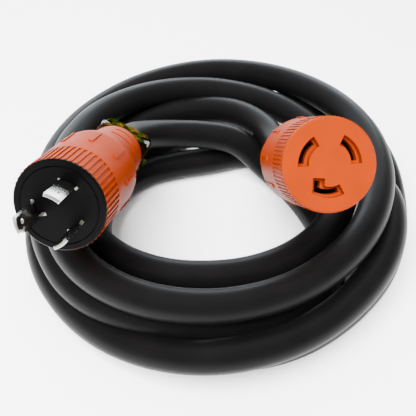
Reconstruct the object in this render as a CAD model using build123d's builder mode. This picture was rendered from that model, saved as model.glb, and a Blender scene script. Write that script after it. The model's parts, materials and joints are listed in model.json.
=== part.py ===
from build123d import *
from math import cos, pi, radians, sin, tan
import os

# Shore power cord: a locking plug and a locking connector on a heavy rubber cord that lies in a loose coil.
# Millimetres. The origin is on the ground under the middle of the coil, +Z is up, and both faces look to -Y.

os.makedirs("parts", exist_ok=True)

# ---------------------------------------------------------------- driving dimensions
CORD_RADIUS = 8.75
FIT_GAP = 0.3            # between curved faces of pieces that move apart
SLIP_GAP = 0.1           # between pieces that slide together on assembly
THREAD_GAP = 0.05        # radial, a screw in its tapped hole

PLUG_FACE = Vector(-70.2, -78.3, 90.5)
PLUG_OUT = Vector(-0.172, -0.896, 0.411)
CONNECTOR_FACE = Vector(49.6, -63.1, 101.0)
CONNECTOR_OUT = Vector(0.122, -0.762, 0.638)

# Along the axis of a plug or connector, measured back from its face.
BODY_RADIUS = 22.0
PLUG_RIM = 1.5           # thickness of each face's own rim, in front of the housing
CONNECTOR_RIM = 3.5
RIM_RADIUS = 21.6
SHOULDER_START = 44.0
NECK_START = 60.0
NECK_START_RADIUS = 17.1
NECK_END = 82.0
NECK_RADIUS = 15.2
SHELL_WALL = 2.6
CAVITY_DEPTH = 48.0      # the wide part of the housing's cavity
THROAT_START = 66.0      # from here the cavity is the throat round the grommet
THROAT_RADIUS = 12.0
CLAMP_START = 84.0
CLAMP_END = 98.0
JACKET_END = 64.0        # the cord's outer jacket is stripped back to here
CORD_EXIT = 100.0

# Moulded details of the housing: grip grooves behind the rim, raised marks and slots round the neck.
GROOVE_SHARE = 0.6       # of the pitch from one groove to the next
PLUG_GROOVES = (52, 18.7, 0.6)   # how many, where they end behind the face, and how deep they are
CONNECTOR_GROOVES = (72, 19.5, 0.4)
MARK_COUNT = 10
MARK_START = 30.5
MARK_WIDTH = 0.9
MARK_HEIGHT = 0.6
MARK_FOOT = 5.0          # degrees that each mark's foot reaches round the housing
PLUG_MARK_ANGLE = 2.0
CONNECTOR_MARK_ANGLE = 29.0
NECK_SLOTS = (66.8, 75.3)
NECK_SLOT_WIDTH = 2.2
NECK_SLOT_DEPTH = 1.3
NECK_SLOT_ANGLES = (48.0, 138.0, 228.0, 318.0)
NECK_SLOT_HALF_ANGLE = 28.0

# The poles stand on one pitch circle. Seen from their faces, plug and connector mirror each other.
PITCH_RADIUS = 12.3
PLUG_GROUND_ANGLE = 192.0
CONNECTOR_GROUND_ANGLE = 267.0
Y_FROM_GROUND = 115.0
X_FROM_GROUND = -127.0
BLADE_THICKNESS = 1.6
BLADE_HALF_ANGLE = 17.5
SHOULDER_HALF_ANGLE = 22.5   # the blade's stamped shoulders end flush with the face
TAB_HALF_ANGLE = 19.0
BLADE_REACH = 19.0
LATCH_HOLE_RADIUS = 1.3
GROUND_LEG = 3.4
LEG_SHOULDER = 1.8       # the leg's own shoulder, flush with the face
SLOT_WIDTH = 2.4
SLOT_HALF_ANGLE = 26.0
SLOT_LEG_WIDTH = 2.6
SLOT_LEG_START = 7.4
RECESS_INNER = 9.7
RECESS_OUTER = 14.7
RECESS_HALF_ANGLE = 31.0
RECESS_DEPTH = 4.0
TAB_END = 34.0
POLES = ("x", "y", "ground")

CARRIER_FRONT = 8.2
CARRIER_RADIUS = 18.6
POCKET_START = 22.5
POCKET_INNER = 6.3
POCKET_OUTER = 16.6
POCKET_HALF_WIDTH = 5.2
SPIGOT_RADIUS = 19.2

TERMINAL_DEPTH = 28.5
TERMINAL_SCREW_RADIUS = 1.7
TERMINAL_HEAD_RADIUS = 3.0
PLATE_INNER = 7.2
PLATE_THICKNESS = 1.5
WIRE_RADIUS = 1.1
WIRE_OFFSET = 3.2        # the bare wire lies beside the terminal screw
INSULATION_RADIUS = 2.3
CORE_PITCH = 3.4         # the cores' distance from the cord's axis inside the jacket

# Three screws from behind hold the face and the carrier together.
ASSEMBLY_SCREW_CIRCLE = 13.0
ASSEMBLY_SCREW_RADIUS = 1.5
ASSEMBLY_HEAD_RADIUS = 2.6
ASSEMBLY_HEAD_HEIGHT = 1.8
ASSEMBLY_SCREW_TIP = 3.5     # depth of the screw's tip behind the face

# Cord clamp: a cast bridge and a saddle that two screws draw together across the cord.
BRIDGE_HALF_WIDTH = 14.6
BRIDGE_HEIGHT = 11.8
BRIDGE_CORNER = 5.0
SCREW_SEAT = 8.5         # height of the screws' seats in the bridge
SADDLE_THICKNESS = 2.0
BOSS_RADIUS = 3.0
BOSS_LENGTH = 6.0
JAW_SPLIT = 0.8          # each jaw stops this far from the cord's axis plane
LUG_THICKNESS = 2.0
LUG_REACH = 16.2
LUG_HALF_LENGTH = 4.4
CLAMP_SCREW_SPACING = 11.9
CLAMP_SCREW_RADIUS = 1.5
CLAMP_HEAD_RADIUS = 2.6
HEAD_POCKET_RADIUS = 3.0
CLAMP_HEAD_HEIGHT = 2.0
CLAMP_SCREW_LENGTH = 15.5
COLLAR_RADIUS = 14.2
CLAMP_ANGLES = {"plug": -25.0, "connector": 255.0}     # of each clamp's right lug, round its own face

# The coil, as one solid: a wide lower ring, a narrower middle one and the raised top turn.
# Each tier is (bottom, top, outer centre, outer half axes, inner centre, inner half axes).
COIL_TIERS = (
    (0.0, 21.0, (0.0, 0.0), (112.0, 122.0), (-6.6, -13.1), (54.0, 44.5)),
    (21.0, 36.0, (0.0, 1.0), (110.5, 120.0), (-3.2, -11.1), (67.5, 46.5)),
    (36.0, 50.8, (2.0, -6.0), (98.0, 101.0), (1.5, -6.0), (79.5, 80.0)),
)
COIL_EDGE_RADIUS = 7.0
COIL_TOP_RADIUS = 6.0

# The cord between each clamp and the coil, from the clamp outwards.
PLUG_TAIL = ((-49.6, 28.4, 43.0), (-37.6, 39.4, 36.0), (-26.6, 42.6, 32.0))
CONNECTOR_TAIL = ((35.4, 27.9, 28.0), (29.4, 43.4, 30.0))


def facing(face, out):
    """The plane of a face: its x direction is to the right for someone who looks at it."""
    right = Vector(1, 0, 0) - out * out.X
    return Plane(origin=face, x_dir=right, z_dir=out)


def pole_angles(ground, hand):
    """Each pole's angle round the face; hand is 1 for the plug and -1 for its mirror image."""
    return {"x": ground + hand * X_FROM_GROUND, "y": ground + hand * Y_FROM_GROUND, "ground": ground}


PLUG_AT = facing(PLUG_FACE, PLUG_OUT.normalized())
CONNECTOR_AT = facing(CONNECTOR_FACE, CONNECTOR_OUT.normalized())
PLUG_ANGLES = pole_angles(PLUG_GROUND_ANGLE, 1)
CONNECTOR_ANGLES = pole_angles(CONNECTOR_GROUND_ANGLE, -1)
ENDS = (("plug", PLUG_AT, PLUG_ANGLES), ("connector", CONNECTOR_AT, CONNECTOR_ANGLES))


def profile_plane(at):
    """The plane to draw a turned profile in: x is the radius and y runs out along the axis."""
    return Plane(origin=at.origin, x_dir=at.x_dir, z_dir=-at.y_dir)


def axis_of(at):
    return Axis(at.origin, at.z_dir)


def pole_plane(at, angle):
    """The face's plane, turned so that x points from the axis to one pole."""
    toward = at.x_dir * cos(radians(angle)) + at.y_dir * sin(radians(angle))
    return Plane(origin=at.origin, x_dir=toward, z_dir=at.z_dir)


def radial_plane(pole_at, radius, depth):
    """A plane that looks outwards at a pole, at a radius and a depth behind the face."""
    return Plane(origin=pole_at.from_local_coords((radius, 0, -depth)), x_dir=pole_at.z_dir, z_dir=pole_at.x_dir)


def between_poles(angles):
    """The three directions halfway between neighbouring poles."""
    ordered = sorted(angle % 360 for angle in angles.values())
    return [(before + after) / 2 for before, after in zip(ordered, ordered[1:] + [ordered[0] + 360])]


def sector(inner, outer, half_angle):
    """A ring sector about the x direction, as a sketch on the XY plane."""
    along = cos(radians(half_angle))
    across = sin(radians(half_angle))
    with BuildSketch() as drawn:
        with BuildLine():
            outside = ThreePointArc((outer * along, -outer * across), (outer, 0), (outer * along, outer * across))
            inside = ThreePointArc((inner * along, -inner * across), (inner, 0), (inner * along, inner * across))
            Line(outside @ 0, inside @ 0)
            Line(outside @ 1, inside @ 1)
        make_face()
    return drawn.sketch


def leg(start, width, side):
    """The ground pole's inward leg, parallel to x, as a sketch on the XY plane."""
    with BuildSketch() as drawn:
        with Locations(((start + PITCH_RADIUS) / 2, side)):
            Rectangle(PITCH_RADIUS - start, width)
    return drawn.sketch


BLADE_INNER = PITCH_RADIUS - BLADE_THICKNESS / 2
BLADE_OUTER = PITCH_RADIUS + BLADE_THICKNESS / 2
LEG_SIDE = 2.7
BLADE = sector(BLADE_INNER, BLADE_OUTER, BLADE_HALF_ANGLE)
BLADE_LEG = leg(PITCH_RADIUS - GROUND_LEG, BLADE_THICKNESS, LEG_SIDE)
BLADE_ROOT = sector(BLADE_INNER, BLADE_OUTER, SHOULDER_HALF_ANGLE)
BLADE_TAB = sector(BLADE_INNER, BLADE_OUTER, TAB_HALF_ANGLE)
ROOT_WAY = sector(BLADE_INNER - SLIP_GAP, BLADE_OUTER + SLIP_GAP, SHOULDER_HALF_ANGLE + 0.5)
LEG_ROOT = leg(PITCH_RADIUS - GROUND_LEG - LEG_SHOULDER, BLADE_THICKNESS, LEG_SIDE)
BLADE_LEG_WAY = leg(PITCH_RADIUS - GROUND_LEG - LEG_SHOULDER - SLIP_GAP, BLADE_THICKNESS + 2 * SLIP_GAP, LEG_SIDE)
SLOT = sector(PITCH_RADIUS - SLOT_WIDTH / 2, PITCH_RADIUS + SLOT_WIDTH / 2, SLOT_HALF_ANGLE)
SLOT_LEG = leg(SLOT_LEG_START, SLOT_LEG_WIDTH, -4.3)
RECESS = sector(RECESS_INNER, RECESS_OUTER, RECESS_HALF_ANGLE)
RECESS_LEG = leg(SLOT_LEG_START - 1.3, SLOT_LEG_WIDTH + 3.0, -4.6)


def write(piece, name):
    piece.part.label = name
    export_step(piece.part, f"parts/{name}.step")


# ---------------------------------------------------------------- plug face and blades
with BuildPart(PLUG_AT) as plug_face:
    with BuildSketch(profile_plane(PLUG_AT)):
        with BuildLine():
            Polyline((0, 0), (17.9, 0), (18.3, -0.35), (18.7, 0), (21.0, 0), (RIM_RADIUS, -0.6),
                     (RIM_RADIUS, -PLUG_RIM), (SPIGOT_RADIUS, -PLUG_RIM), (SPIGOT_RADIUS, -8), (0, -8), (0, 0))
        make_face()
    revolve(axis=axis_of(PLUG_AT))
    for pole in POLES:
        pole_at = pole_plane(PLUG_AT, PLUG_ANGLES[pole])
        with BuildSketch(pole_at.offset(-8)):
            add(ROOT_WAY)
            if pole == "ground":
                add(BLADE_LEG_WAY)
        extrude(amount=8, mode=Mode.SUBTRACT)
    for angle in between_poles(PLUG_ANGLES):
        with BuildSketch(pole_plane(PLUG_AT, angle).offset(-8)):
            with Locations((ASSEMBLY_SCREW_CIRCLE, 0)):
                Circle(ASSEMBLY_SCREW_RADIUS + THREAD_GAP)
        extrude(amount=8 - ASSEMBLY_SCREW_TIP + 0.5, mode=Mode.SUBTRACT)
write(plug_face, "plug_face")

for pole in POLES:
    pole_at = pole_plane(PLUG_AT, PLUG_ANGLES[pole])
    with BuildPart(pole_at) as plug_blade:
        with BuildSketch(pole_at.offset(-POCKET_START)):
            add(BLADE)
            if pole == "ground":
                add(BLADE_LEG)
        extrude(amount=POCKET_START + BLADE_REACH)
        with BuildSketch(pole_at.offset(-POCKET_START)):
            add(BLADE_ROOT)
            if pole == "ground":
                add(LEG_ROOT)
        extrude(amount=POCKET_START)
        with BuildSketch(pole_at.offset(-TAB_END)):
            add(BLADE_TAB)
        extrude(amount=TAB_END - POCKET_START)
        with BuildSketch(radial_plane(pole_at, BLADE_INNER - 2, TERMINAL_DEPTH)):
            Circle(TERMINAL_SCREW_RADIUS + SLIP_GAP)
        extrude(amount=BLADE_THICKNESS + 4, mode=Mode.SUBTRACT)
        with BuildSketch(radial_plane(pole_at, BLADE_INNER - 2, 5.5 - BLADE_REACH)):
            Circle(LATCH_HOLE_RADIUS)
        extrude(amount=BLADE_THICKNESS + 4, mode=Mode.SUBTRACT)
        tip = plug_blade.faces().sort_by(axis_of(PLUG_AT))[-1]
        chamfer(tip.edges(), 0.4)
    write(plug_blade, f"plug_blade_{pole}")

# ---------------------------------------------------------------- connector face and contacts
with BuildPart(CONNECTOR_AT) as connector_face:
    with BuildSketch(profile_plane(CONNECTOR_AT)):
        with BuildLine():
            Polyline((0, 0), (20.8, 0), (RIM_RADIUS, -0.8), (RIM_RADIUS, -CONNECTOR_RIM),
                     (SPIGOT_RADIUS, -CONNECTOR_RIM), (SPIGOT_RADIUS, -8), (0, -8), (0, 0))
        make_face()
    revolve(axis=axis_of(CONNECTOR_AT))
    for pole in POLES:
        pole_at = pole_plane(CONNECTOR_AT, CONNECTOR_ANGLES[pole])
        with BuildSketch(pole_at.offset(-RECESS_DEPTH)):
            add(RECESS)
            if pole == "ground":
                add(RECESS_LEG)
        extrude(amount=RECESS_DEPTH, mode=Mode.SUBTRACT)
        with BuildSketch(pole_at.offset(-8)):
            add(SLOT)
            if pole == "ground":
                add(SLOT_LEG)
        extrude(amount=8, mode=Mode.SUBTRACT)
    for angle in between_poles(CONNECTOR_ANGLES):
        with BuildSketch(pole_plane(CONNECTOR_AT, angle).offset(-8)):
            with Locations((ASSEMBLY_SCREW_CIRCLE, 0)):
                Circle(ASSEMBLY_SCREW_RADIUS + THREAD_GAP)
        extrude(amount=8 - ASSEMBLY_SCREW_TIP + 0.5, mode=Mode.SUBTRACT)
write(connector_face, "connector_face")

LEAF_THICKNESS = 0.8
LEAF_SPREAD = 1.15       # from the pitch circle to the near side of each spring leaf
INNER_LEAF = sector(PITCH_RADIUS - LEAF_SPREAD - LEAF_THICKNESS, PITCH_RADIUS - LEAF_SPREAD, 18.0)
OUTER_LEAF = sector(PITCH_RADIUS + LEAF_SPREAD, PITCH_RADIUS + LEAF_SPREAD + LEAF_THICKNESS, 18.0)
LEAF_BASE = sector(PITCH_RADIUS - LEAF_SPREAD - LEAF_THICKNESS, PITCH_RADIUS + LEAF_SPREAD + LEAF_THICKNESS, 18.0)
LEAF_WAY = sector(PITCH_RADIUS - LEAF_SPREAD - LEAF_THICKNESS - SLIP_GAP,
                  PITCH_RADIUS + LEAF_SPREAD + LEAF_THICKNESS + SLIP_GAP, 25.0)
LEAF_TOP = 9.0
LEAF_BASE_THICKNESS = 1.0

for pole in POLES:
    pole_at = pole_plane(CONNECTOR_AT, CONNECTOR_ANGLES[pole])
    with BuildPart(pole_at) as connector_contact:
        with BuildSketch(pole_at.offset(-POCKET_START)):
            add(INNER_LEAF)
            add(OUTER_LEAF)
        extrude(amount=POCKET_START - LEAF_TOP)
        with BuildSketch(pole_at.offset(-POCKET_START - LEAF_BASE_THICKNESS)):
            add(LEAF_BASE)
        extrude(amount=LEAF_BASE_THICKNESS)
        with BuildSketch(pole_at.offset(-TAB_END)):
            add(BLADE_TAB)
        extrude(amount=TAB_END - POCKET_START - LEAF_BASE_THICKNESS)
        with BuildSketch(radial_plane(pole_at, BLADE_INNER - 2, TERMINAL_DEPTH)):
            Circle(TERMINAL_SCREW_RADIUS + SLIP_GAP)
        extrude(amount=BLADE_THICKNESS + 4, mode=Mode.SUBTRACT)
    write(connector_contact, f"connector_contact_{pole}")

# ---------------------------------------------------------------- pieces that both ends have
CONTACT_WAYS = {"plug": (ROOT_WAY, BLADE_LEG_WAY), "connector": (LEAF_WAY, SLOT_LEG)}
HOUSING_DETAILS = {
    "plug": (PLUG_RIM, PLUG_GROOVES, PLUG_MARK_ANGLE),
    "connector": (CONNECTOR_RIM, CONNECTOR_GROOVES, CONNECTOR_MARK_ANGLE),
}

for end, at, angles in ENDS:
    contact_way, leg_way = CONTACT_WAYS[end]

    # The insulating body that holds the contacts apart, with a wiring pocket behind each.
    with BuildPart(at) as carrier:
        with BuildSketch(at.offset(-TAB_END)):
            Circle(CARRIER_RADIUS)
        extrude(amount=TAB_END - CARRIER_FRONT)
        for pole in POLES:
            pole_at = pole_plane(at, angles[pole])
            with BuildSketch(pole_at.offset(-POCKET_START)):
                add(contact_way)
                if pole == "ground":
                    add(leg_way)
            extrude(amount=POCKET_START - CARRIER_FRONT, mode=Mode.SUBTRACT)
            with BuildSketch(pole_at.offset(-TAB_END)):
                with Locations(((POCKET_INNER + POCKET_OUTER) / 2, 0)):
                    Rectangle(POCKET_OUTER - POCKET_INNER, 2 * POCKET_HALF_WIDTH)
            extrude(amount=TAB_END - POCKET_START, mode=Mode.SUBTRACT)
            with BuildSketch(radial_plane(pole_at, POCKET_OUTER - 1, TERMINAL_DEPTH)):
                Circle(TERMINAL_HEAD_RADIUS + 0.2)
            extrude(amount=6, mode=Mode.SUBTRACT)
        for angle in between_poles(angles):
            with BuildSketch(pole_plane(at, angle).offset(-TAB_END)):
                with Locations((ASSEMBLY_SCREW_CIRCLE, 0)):
                    Circle(ASSEMBLY_SCREW_RADIUS + SLIP_GAP)
            extrude(amount=TAB_END - CARRIER_FRONT, mode=Mode.SUBTRACT)
    write(carrier, f"{end}_carrier")

    # Three terminal screws, three pressure plates and three bare wire ends, each set as one node.
    with BuildPart(at) as terminal_screws:
        for pole in POLES:
            pole_at = pole_plane(at, angles[pole])
            head_seat = BLADE_OUTER
            screw_at = radial_plane(pole_at, head_seat, TERMINAL_DEPTH)
            with BuildSketch(screw_at):
                Circle(TERMINAL_SCREW_RADIUS)
            extrude(amount=-(head_seat - PLATE_INNER + 0.4))
            with BuildSketch(screw_at):
                Circle(TERMINAL_HEAD_RADIUS)
            extrude(amount=2.0)
            with BuildSketch(screw_at.offset(1.2)):
                Rectangle(2 * TERMINAL_HEAD_RADIUS + 1, 0.9)
            extrude(amount=0.8, mode=Mode.SUBTRACT)
    write(terminal_screws, f"{end}_terminal_screws")

    with BuildPart(at) as pressure_plates:
        for pole in POLES:
            pole_at = pole_plane(at, angles[pole])
            with BuildSketch(radial_plane(pole_at, PLATE_INNER, TERMINAL_DEPTH)):
                RectangleRounded(9.0, 9.6, 1.2)
                Circle(TERMINAL_SCREW_RADIUS + THREAD_GAP, mode=Mode.SUBTRACT)
            extrude(amount=PLATE_THICKNESS)
    write(pressure_plates, f"{end}_pressure_plates")

    wire_radial = PLATE_INNER + PLATE_THICKNESS + THREAD_GAP + WIRE_RADIUS
    with BuildPart(at) as wire_ends:
        for pole in POLES:
            with BuildSketch(pole_plane(at, angles[pole]).offset(-TAB_END - 2)):
                with Locations((wire_radial, WIRE_OFFSET)):
                    Circle(WIRE_RADIUS)
            extrude(amount=10)
    write(wire_ends, f"{end}_wire_ends")

    # The insulated cores run from the stripped jacket out to the terminals.
    for pole, colour in zip(POLES, ("black", "white", "green")):
        pole_at = pole_plane(at, angles[pole])
        route = [(CORE_PITCH, 0, -JACKET_END), (CORE_PITCH, 0, -JACKET_END + 8),
                 (wire_radial, WIRE_OFFSET, -TAB_END - 8), (wire_radial, WIRE_OFFSET, -TAB_END - 2)]
        with BuildPart(pole_at) as core:
            with BuildLine():
                FilletPolyline(*[pole_at.from_local_coords(point) for point in route], radius=[8, 6])
            with BuildSketch(Plane(origin=pole_at.from_local_coords(route[0]), z_dir=at.z_dir)):
                Circle(INSULATION_RADIUS)
            sweep()
        write(core, f"{end}_core_{colour}")

    # The housing is turned and hollow, with a grooved grip in front and a slotted neck behind.
    rim, (groove_count, groove_end, groove_depth), mark_angle = HOUSING_DETAILS[end]
    with BuildPart(at) as housing:
        with BuildSketch(profile_plane(at)):
            with BuildLine():
                grip = Polyline((BODY_RADIUS - SHELL_WALL, -rim), (BODY_RADIUS, -rim), (BODY_RADIUS, -SHOULDER_START))
                shoulder = Spline(grip @ 1, (21.6, -48.0), (20.6, -52.0), (19.2, -55.0), (17.6, -58.0),
                                  tangents=((0, -1), (-0.4, -1)))
                Polyline(shoulder @ 1, (NECK_START_RADIUS, -NECK_START), (NECK_RADIUS, -NECK_END),
                         (THROAT_RADIUS, -NECK_END), (THROAT_RADIUS, -THROAT_START),
                         (BODY_RADIUS - SHELL_WALL, -CAVITY_DEPTH), grip @ 0)
            make_face()
        revolve(axis=axis_of(at))
        with BuildSketch(at.offset(-groove_end)):
            with PolarLocations(BODY_RADIUS, groove_count):
                Rectangle(2 * groove_depth, 2 * pi * BODY_RADIUS / groove_count * GROOVE_SHARE)
        extrude(amount=groove_end - rim, mode=Mode.SUBTRACT)
        with BuildSketch(at.offset(-SHOULDER_START)):
            with PolarLocations(BODY_RADIUS, MARK_COUNT, start_angle=mark_angle):
                Rectangle(2 * MARK_HEIGHT, MARK_WIDTH)
        extrude(amount=SHOULDER_START - MARK_START)
        for mark in range(MARK_COUNT):
            foot_at = pole_plane(at, mark_angle + mark * 360 / MARK_COUNT + MARK_FOOT / 2)
            with BuildSketch(foot_at.offset(-MARK_START - MARK_WIDTH)):
                add(sector(BODY_RADIUS - MARK_HEIGHT, BODY_RADIUS + MARK_HEIGHT, MARK_FOOT / 2))
            extrude(amount=MARK_WIDTH)
        for depth in NECK_SLOTS:
            slope = (NECK_START_RADIUS - NECK_RADIUS) / (NECK_END - NECK_START)
            slot_floor = NECK_START_RADIUS - slope * (depth - NECK_START) - NECK_SLOT_DEPTH
            for angle in NECK_SLOT_ANGLES:
                with BuildSketch(pole_plane(at, angle).offset(-depth - NECK_SLOT_WIDTH / 2)):
                    add(sector(slot_floor, BODY_RADIUS, NECK_SLOT_HALF_ANGLE))
                extrude(amount=NECK_SLOT_WIDTH, mode=Mode.SUBTRACT)
    write(housing, f"{end}_housing")

    # The rubber grommet closes the throat round the cord and grips it.
    with BuildPart(at) as grommet:
        with BuildSketch(at.offset(-NECK_END)):
            Circle(THROAT_RADIUS - THREAD_GAP)
            Circle(CORD_RADIUS - THREAD_GAP, mode=Mode.SUBTRACT)
        extrude(amount=NECK_END - THROAT_START)
        chamfer(grommet.edges().filter_by(GeomType.CIRCLE).group_by(axis_of(at))[-1], 0.8)
    write(grommet, f"{end}_grommet")

    # Fixed jaw: a collar on the end of the neck with the saddle and its two tapped lugs.
    clamp_at = pole_plane(at, CLAMP_ANGLES[end])
    lug_plane = Plane(origin=clamp_at.from_local_coords((0, 0, -(CLAMP_START + CLAMP_END) / 2)),
                      x_dir=clamp_at.x_dir, z_dir=clamp_at.y_dir)
    saddle_inner = CORD_RADIUS + FIT_GAP
    saddle_outer = saddle_inner + SADDLE_THICKNESS
    lug_middle = (saddle_outer + LUG_REACH) / 2 - 0.3
    with BuildPart(clamp_at) as clamp_fixed:
        with BuildSketch(clamp_at.offset(-CLAMP_START)):
            Circle(COLLAR_RADIUS)
            Circle(saddle_inner, mode=Mode.SUBTRACT)
        extrude(amount=CLAMP_START - NECK_END)
        with BuildSketch(clamp_at.offset(-CLAMP_END)):
            Circle(saddle_outer)
            Circle(saddle_inner, mode=Mode.SUBTRACT)
            with Locations((0, saddle_outer - JAW_SPLIT)):
                Rectangle(3 * saddle_outer, 2 * saddle_outer, mode=Mode.SUBTRACT)
        extrude(amount=CLAMP_END - CLAMP_START)
        with BuildSketch(lug_plane.offset(-JAW_SPLIT)):
            with GridLocations(2 * lug_middle, 0, 2, 1):
                Rectangle(LUG_REACH - saddle_outer + 0.6, 2 * LUG_HALF_LENGTH)
        extrude(amount=-LUG_THICKNESS)
        with BuildSketch(lug_plane.offset(-JAW_SPLIT)):
            with GridLocations(2 * CLAMP_SCREW_SPACING, 0, 2, 1):
                Circle(BOSS_RADIUS)
        extrude(amount=-BOSS_LENGTH)
        with BuildSketch(lug_plane):
            with GridLocations(2 * CLAMP_SCREW_SPACING, 0, 2, 1):
                Circle(CLAMP_SCREW_RADIUS + THREAD_GAP)
        extrude(amount=-CLAMP_SCREW_LENGTH, mode=Mode.SUBTRACT)
    write(clamp_fixed, f"{end}_clamp_fixed")

    # Moving jaw: the cast bridge over the cord, with a pocket for each screw's head.
    with BuildPart(clamp_at) as clamp_moving:
        with BuildSketch(clamp_at.offset(-CLAMP_END)):
            RectangleRounded(2 * BRIDGE_HALF_WIDTH, 2 * BRIDGE_HEIGHT, BRIDGE_CORNER)
            Circle(saddle_inner, mode=Mode.SUBTRACT)
            with Locations((0, -BRIDGE_HEIGHT + JAW_SPLIT)):
                Rectangle(3 * BRIDGE_HALF_WIDTH, 2 * BRIDGE_HEIGHT, mode=Mode.SUBTRACT)
        extrude(amount=CLAMP_END - CLAMP_START - FIT_GAP)
        with BuildSketch(lug_plane.offset(SCREW_SEAT)):
            with GridLocations(2 * CLAMP_SCREW_SPACING, 0, 2, 1):
                Circle(HEAD_POCKET_RADIUS)
        extrude(amount=BRIDGE_HEIGHT, mode=Mode.SUBTRACT)
        with BuildSketch(lug_plane):
            with GridLocations(2 * CLAMP_SCREW_SPACING, 0, 2, 1):
                Circle(CLAMP_SCREW_RADIUS + SLIP_GAP)
        extrude(amount=BRIDGE_HEIGHT, mode=Mode.SUBTRACT)
    write(clamp_moving, f"{end}_clamp_moving")

    # Each clamp screw turns in the moving jaw and is threaded into the fixed one.
    for side, sign in (("left", -1), ("right", 1)):
        seat = lug_plane.offset(SCREW_SEAT + THREAD_GAP)
        with BuildPart(seat) as clamp_screw:
            with BuildSketch(seat):
                with Locations((sign * CLAMP_SCREW_SPACING, 0)):
                    Circle(CLAMP_SCREW_RADIUS)
            extrude(amount=-CLAMP_SCREW_LENGTH)
            with BuildSketch(seat):
                with Locations((sign * CLAMP_SCREW_SPACING, 0)):
                    Circle(CLAMP_HEAD_RADIUS)
            extrude(amount=CLAMP_HEAD_HEIGHT)
            with BuildSketch(seat.offset(CLAMP_HEAD_HEIGHT - 0.9)):
                with Locations((sign * CLAMP_SCREW_SPACING, 0)):
                    Rectangle(2 * CLAMP_HEAD_RADIUS + 1, 0.9)
            extrude(amount=0.9, mode=Mode.SUBTRACT)
        write(clamp_screw, f"{end}_clamp_screw_{side}")

# ---------------------------------------------------------------- assembly screws, one node for each end
for end, at, angles in ENDS:
    with BuildPart(at) as assembly_screws:
        for angle in between_poles(angles):
            with BuildSketch(pole_plane(at, angle).offset(-TAB_END)):
                with Locations((ASSEMBLY_SCREW_CIRCLE, 0)):
                    Circle(ASSEMBLY_SCREW_RADIUS)
            extrude(amount=TAB_END - ASSEMBLY_SCREW_TIP)
            with BuildSketch(pole_plane(at, angle).offset(-TAB_END - ASSEMBLY_HEAD_HEIGHT)):
                with Locations((ASSEMBLY_SCREW_CIRCLE, 0)):
                    Circle(ASSEMBLY_HEAD_RADIUS)
            extrude(amount=ASSEMBLY_HEAD_HEIGHT)
    write(assembly_screws, f"{end}_assembly_screws")

# ---------------------------------------------------------------- the cord
TAILS = (("plug", PLUG_AT, PLUG_TAIL), ("connector", CONNECTOR_AT, CONNECTOR_TAIL))
for end, at, tail in TAILS:
    inside = [at.offset(-JACKET_END).origin, at.offset(-CORD_EXIT).origin]
    points = inside + [Vector(*point) for point in tail]
    runs = [after - before for before, after in zip(points, points[1:])]
    turns = [before.get_angle(after) for before, after in zip(runs, runs[1:])]
    radii = [0.45 * min(before.length, after.length) / tan(radians(turn) / 2)
             for before, after, turn in zip(runs, runs[1:], turns)]
    with BuildPart() as cord_tail:
        with BuildLine() as tail_path:
            FilletPolyline(*points, radius=radii)
        with BuildSketch(Plane(origin=points[0], z_dir=runs[0])):
            Circle(CORD_RADIUS)
        sweep()
    write(cord_tail, f"cord_tail_{end}")
    length = sum(edge.length for edge in tail_path.edges())
    expected = pi * CORD_RADIUS ** 2 * length
    print(f"cord_tail_{end}: radii", [round(radius, 1) for radius in radii],
          "length", round(length, 1), "volume ratio", round(cord_tail.part.volume / expected, 4))

with BuildPart() as cord_coil:
    for bottom, top, outer_centre, outer_axes, inner_centre, inner_axes in COIL_TIERS:
        with BuildSketch(Plane.XY.offset(bottom)):
            with Locations(outer_centre):
                Ellipse(*outer_axes)
            with Locations(inner_centre):
                Ellipse(*inner_axes, mode=Mode.SUBTRACT)
        extrude(amount=top - bottom)
    ground_edges = cord_coil.faces().sort_by(Axis.Z)[0].outer_wire().edges()
    fillet(ground_edges, COIL_EDGE_RADIUS)
    top_edges = cord_coil.faces().sort_by(Axis.Z)[-1].outer_wire().edges()
    fillet(top_edges, COIL_TOP_RADIUS)
write(cord_coil, "cord_coil")
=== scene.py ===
import json
from math import cos, radians, sin

import bpy
from mathutils import Matrix, Vector


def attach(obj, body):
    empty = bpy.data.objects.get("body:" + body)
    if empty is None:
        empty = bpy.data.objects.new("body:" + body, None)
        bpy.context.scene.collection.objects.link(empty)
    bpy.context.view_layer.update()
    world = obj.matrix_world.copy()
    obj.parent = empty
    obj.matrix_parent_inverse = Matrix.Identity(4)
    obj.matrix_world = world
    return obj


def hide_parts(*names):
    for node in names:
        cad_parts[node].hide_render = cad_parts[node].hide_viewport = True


# Looks of the shore power cord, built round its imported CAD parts. Metres.

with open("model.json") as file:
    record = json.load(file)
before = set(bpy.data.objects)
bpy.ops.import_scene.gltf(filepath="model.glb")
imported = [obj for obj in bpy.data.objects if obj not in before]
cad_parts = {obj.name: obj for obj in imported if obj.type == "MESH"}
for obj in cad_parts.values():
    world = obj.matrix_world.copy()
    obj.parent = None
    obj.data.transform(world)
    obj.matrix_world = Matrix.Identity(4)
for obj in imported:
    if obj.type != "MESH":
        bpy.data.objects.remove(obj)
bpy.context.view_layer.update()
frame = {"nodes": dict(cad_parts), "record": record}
nodes = frame["nodes"]
MM = 0.001

# ---------------------------------------------------------------- camera
# The camera comes from the same fit as the coil's turns, below.
CAMERA_PLACE = (-0.00465, -0.2863, 0.3055)
CAMERA_TILT = 43.89   # degrees up from straight down
LENS = 58.9           # on a sensor 36 mm wide

camera_data = bpy.data.cameras.new("camera")
camera_data.lens = LENS
camera_data.sensor_width = 36
camera = bpy.data.objects.new("camera", camera_data)
camera.location = CAMERA_PLACE
camera.rotation_euler = (radians(CAMERA_TILT), 0, 0)
bpy.context.collection.objects.link(camera)
bpy.context.scene.camera = camera


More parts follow.
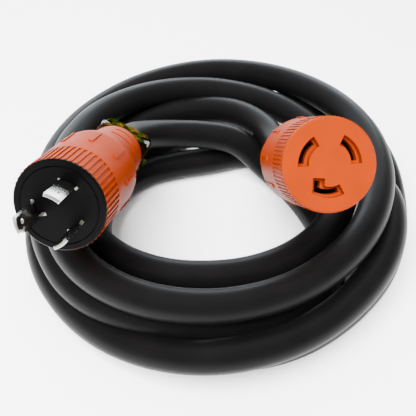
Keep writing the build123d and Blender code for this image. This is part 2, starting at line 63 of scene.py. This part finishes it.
# ---------------------------------------------------------------- the frames of the two ends
def end_frame(mount_name):
    """The matrix of a face's own frame, in millimetres: x to the right seen from its front, z out of it."""
    mount = next(m for m in frame["record"]["mounts"] if m["name"] == mount_name)
    out = Vector(mount["axis"]).normalized()
    right = (Vector((1, 0, 0)) - out * out.x).normalized()
    up = out.cross(right)
    turn = Matrix((right, up, out)).transposed().to_4x4()
    return Matrix.Translation(Vector(mount["pos_m"])) @ turn @ Matrix.Scale(MM, 4)


ENDS = {"plug": end_frame("plug_front"), "connector": end_frame("connector_front")}

# ---------------------------------------------------------------- the cord
CORD_RADIUS = 0.00875
COIL_MIDDLE = Vector((-0.00465, -0.0056, 0.0))

# Depths behind each face, in millimetres, where the cord still runs straight along that end's axis.
STRAIGHT_RUN = (64, 82, 100)

# Chosen between those runs and the coil, in metres from the coil's middle.
PLUG_TAIL = ((-0.051, 0.002, 0.056), (-0.049, 0.015, 0.050), (-0.046, 0.028, 0.045),
             (-0.037, 0.040, 0.037), (-0.021, 0.048, 0.031), (0.000, 0.050, 0.0285),
             (0.0195, 0.0472, 0.0262))
CONNECTOR_TAIL = ((0.000, 0.0825, 0.024), (0.020, 0.0745, 0.027), (0.0355, 0.0575, 0.029),
                  (0.0415, 0.040, 0.031), (0.0415, 0.0255, 0.0345))

# The coil's turns as (radius, height) in millimetres at each eighth of a turn, clockwise from the back.
# They come from a least-squares fit to outlines, rounded, and some were then moved to close gaps.
# The plug's tail takes the place of the first eighth, and the last row only steers the end of the coil.
TURNS = (
    ((50, 28), (52, 12), (62, 9), (88, 15), (90, 24), (96, 25), (93, 28), (107, 25)),
    ((119, 28), (107, 38), (96, 43), (91, 42), (92, 42), (92, 42), (82, 42), (92, 35)),
    ((97, 28), (86, 30), (78, 31), (68, 29), (61, 26), (69, 27), (75, 26), (63, 11)),
    ((86, 9), (120, 22), (110, 9), (101, 9), (97, 9), (72, 9), (65, 11), (52, 9)),
    ((46, 9), (75, 10), (103, 28), (105, 26), (108, 24), (99, 9), (99, 11), (94, 13)),
    ((82, 24), (82, 24)),
)
POINTS_THE_TAIL_REPLACES = 2
SPLINE_CUT = 1 / 0.981   # the spline runs inside its control points, so they stand this much further out
NEAR_SHARE = 9 / 16      # how a point halfway between two others follows them
FAR_SHARE = 1 / 16       # and the two beyond them


def coil_points():
    """Two control points for each eighth of a turn; the one between follows its four neighbours."""
    eighths = [(radius, height) for turn in TURNS for radius, height in turn]
    points = []
    for step in range(len(eighths) - 2):
        before = eighths[max(step - 1, 0)]
        here = eighths[step]
        after = eighths[step + 1]
        beyond = eighths[step + 2]
        middle = tuple(NEAR_SHARE * (h + a) - FAR_SHARE * (b + c)
                       for b, h, a, c in zip(before, here, after, beyond))
        for angle, (radius, height) in ((45 * step, here), (45 * step + 22.5, middle)):
            around = SPLINE_CUT * radius * MM
            points.append(Vector((around * sin(radians(angle)), around * cos(radians(angle)), height * MM)))
    return points


def along(end, depth):
    """A point on the axis of an end, at a depth in millimetres behind its face."""
    return ENDS[end] @ Vector((0, 0, -depth))


route = [along("plug", depth) for depth in STRAIGHT_RUN]
route += [COIL_MIDDLE + Vector(point) for point in PLUG_TAIL]
route += [COIL_MIDDLE + point for point in coil_points()[POINTS_THE_TAIL_REPLACES:]]
route += [COIL_MIDDLE + Vector(point) for point in CONNECTOR_TAIL]
route += [along("connector", depth) for depth in reversed(STRAIGHT_RUN)]

cord_data = bpy.data.curves.new("cord", "CURVE")
cord_data.dimensions = "3D"
spline = cord_data.splines.new("NURBS")
spline.points.add(len(route) - 1)
for control, point in zip(spline.points, route):
    control.co = (*point, 1)
    control.radius = CORD_RADIUS   # the bevel is 1 m deep and each point scales it
spline.order_u = 3
spline.use_endpoint_u = True
spline.resolution_u = 10
cord_data.bevel_depth = 1.0
cord_data.bevel_resolution = 8
cord_data.use_fill_caps = True
cord = bpy.data.objects.new("cord", cord_data)
bpy.context.collection.objects.link(cord)
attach(cord, "cord_assembly")
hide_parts("cord_tail_plug", "cord_coil", "cord_tail_connector")


# ---------------------------------------------------------------- materials
RAMP_START = 0.35
RAMP_LENGTH = 0.3
DENT_DEPTH = 0.0003


def material(name, base, roughness, metallic=0.0, tints=(), tint_scale=60.0, grain=900.0, bump=0.05,
             rough_swing=0.06, specular=0.5, edge_tint=(1.0, 1.0, 1.0)):
    """A procedural surface. Coarse noise runs the colour through the tints and varies the gloss, fine noise
    gives the bump, and the edge tint darkens what is seen at a low angle."""
    made = bpy.data.materials.new(name)
    made.use_nodes = True
    tree = made.node_tree
    shader = tree.nodes["Principled BSDF"]
    shader.inputs["Base Color"].default_value = (*base, 1)
    shader.inputs["Roughness"].default_value = roughness
    shader.inputs["Metallic"].default_value = metallic
    shader.inputs["Specular IOR Level"].default_value = specular
    shader.inputs["Specular Tint"].default_value = (*edge_tint, 1)
    place = tree.nodes.new("ShaderNodeTexCoord")
    fine = tree.nodes.new("ShaderNodeTexNoise")
    fine.inputs["Scale"].default_value = grain
    fine.inputs["Detail"].default_value = 3
    tree.links.new(place.outputs["Object"], fine.inputs["Vector"])
    dents = tree.nodes.new("ShaderNodeBump")
    dents.inputs["Strength"].default_value = bump
    dents.inputs["Distance"].default_value = DENT_DEPTH
    tree.links.new(fine.outputs["Fac"], dents.inputs["Height"])
    tree.links.new(dents.outputs["Normal"], shader.inputs["Normal"])
    coarse = tree.nodes.new("ShaderNodeTexNoise")
    coarse.inputs["Scale"].default_value = tint_scale
    coarse.inputs["Detail"].default_value = 2
    tree.links.new(place.outputs["Object"], coarse.inputs["Vector"])
    swing = tree.nodes.new("ShaderNodeMapRange")
    swing.inputs["To Min"].default_value = roughness - rough_swing
    swing.inputs["To Max"].default_value = roughness + rough_swing
    tree.links.new(coarse.outputs["Fac"], swing.inputs["Value"])
    tree.links.new(swing.outputs["Result"], shader.inputs["Roughness"])
    ramp = tree.nodes.new("ShaderNodeValToRGB")
    colours = (base, *tints) if tints else (base, tuple(0.9 * value for value in base))
    ramp.color_ramp.elements[0].position = RAMP_START
    ramp.color_ramp.elements[0].color = (*colours[0], 1)
    ramp.color_ramp.elements[1].position = RAMP_START + RAMP_LENGTH
    ramp.color_ramp.elements[1].color = (*colours[-1], 1)
    for step, colour in enumerate(colours[1:-1], 1):
        stop = ramp.color_ramp.elements.new(RAMP_START + RAMP_LENGTH * step / (len(colours) - 1))
        stop.color = (*colour, 1)
    tree.links.new(coarse.outputs["Fac"], ramp.inputs["Fac"])
    tree.links.new(ramp.outputs["Color"], shader.inputs["Base Color"])
    return made


MATERIALS = {
    "orange_shell": material("orange_shell", (0.175, 0.0165, 0.0), 0.42, specular=0.02),
    "black_nylon": material("black_nylon", (0.0006, 0.0006, 0.0007), 0.48, specular=0.05),
    "nickel_plate": material("nickel_plate", (0.42, 0.41, 0.38), 0.24, metallic=1.0),
    # Brass contacts with painted shade: their colour is darkened because they sit deep in the face's slots,
    # where shade falls.
    "contact_brass": material("contact_brass", (0.10, 0.07, 0.03), 0.5, metallic=1.0),
    "zinc_plate": material("zinc_plate", (0.10, 0.095, 0.08), 0.32, metallic=1.0),
    "gold_zinc": material("gold_zinc", (0.030, 0.027, 0.011), 0.36, metallic=1.0,
                          tints=((0.020, 0.045, 0.018), (0.060, 0.035, 0.025), (0.120, 0.090, 0.030)),
                          tint_scale=260.0, edge_tint=(0.22, 0.20, 0.09)),
    "bare_copper": material("bare_copper", (0.75, 0.32, 0.16), 0.35, metallic=1.0),
    "core_black": material("core_black", (0.02, 0.02, 0.02), 0.5),
    "core_white": material("core_white", (0.75, 0.75, 0.72), 0.5),
    "core_green": material("core_green", (0.03, 0.25, 0.06), 0.5),
    "grommet_rubber": material("grommet_rubber", (0.02, 0.02, 0.02), 0.6),
    "cord_rubber": material("cord_rubber", (0.0019, 0.0018, 0.0018), 0.42, tints=((0.0024, 0.0022, 0.0022),),
                            grain=700.0, specular=0.06),
}
cord.data.materials.append(MATERIALS["cord_rubber"])

NODE_SLOTS = {
    "plug_face": "black_nylon", "connector_face": "orange_shell",
    "plug_blade_x": "nickel_plate", "plug_blade_y": "nickel_plate", "plug_blade_ground": "nickel_plate",
    "connector_contact_x": "contact_brass", "connector_contact_y": "contact_brass",
    "connector_contact_ground": "contact_brass",
}
SHARED_SLOTS = {
    "carrier": "black_nylon", "terminal_screws": "zinc_plate", "pressure_plates": "zinc_plate",
    "wire_ends": "bare_copper", "core_black": "core_black", "core_white": "core_white",
    "core_green": "core_green", "housing": "orange_shell", "grommet": "grommet_rubber",
    "clamp_fixed": "gold_zinc", "clamp_moving": "gold_zinc", "clamp_screw_left": "zinc_plate",
    "clamp_screw_right": "zinc_plate", "assembly_screws": "zinc_plate",
}
for end in ENDS:
    for ending, slot_name in SHARED_SLOTS.items():
        NODE_SLOTS[f"{end}_{ending}"] = slot_name

for node_name, slot_name in NODE_SLOTS.items():
    node = nodes[node_name]
    node.data.materials.clear()
    node.data.materials.append(MATERIALS[slot_name])

# ---------------------------------------------------------------- floor, world and light
FLOOR_REACH = 4
FLOOR_GAP = 0.0002
PAPER = (0.95, 0.95, 0.95)

floor_mesh = bpy.data.meshes.new("floor")
floor_mesh.from_pydata([(-FLOOR_REACH, -FLOOR_REACH, 0), (FLOOR_REACH, -FLOOR_REACH, 0),
                        (FLOOR_REACH, FLOOR_REACH, 0), (-FLOOR_REACH, FLOOR_REACH, 0)], [], [(0, 1, 2, 3)])
floor = bpy.data.objects.new("floor", floor_mesh)
floor.location.z = -FLOOR_GAP
bpy.context.collection.objects.link(floor)
floor.data.materials.append(material("paper", PAPER, 0.9, bump=0.0, rough_swing=0.0, tints=(PAPER,),
                                     specular=0.1))

world = bpy.data.worlds.new("world")
world.use_nodes = True
world.node_tree.nodes["Background"].inputs["Color"].default_value = (1, 1, 1, 1)
world.node_tree.nodes["Background"].inputs["Strength"].default_value = 1.0
bpy.context.scene.world = world


def lamp(name, place, size, power, aim=(0, 0, 0.03), glossy=True, colour=(1, 1, 1)):
    """A soft box. One that isn't glossy gives light but shows in no reflection, like a polarised one."""
    data = bpy.data.lights.new(name, "AREA")
    data.shape = "RECTANGLE"
    data.size, data.size_y = size
    data.energy = power
    data.color = colour
    made = bpy.data.objects.new(name, data)
    made.location = place
    made.rotation_euler = (Vector(aim) - Vector(place)).to_track_quat("-Z", "Y").to_euler()
    made.visible_glossy = glossy
    bpy.context.collection.objects.link(made)


lamp("back", (-0.15, 1.2, 0.42), (2.0, 0.5), 46.0, colour=(0.86, 0.94, 1.0))
lamp("overhead", (0.0, 0.3, 1.2), (1.4, 1.2), 10.0)
lamp("front", (-0.25, -0.55, 1.2), (0.9, 0.9), 125.0, glossy=False)
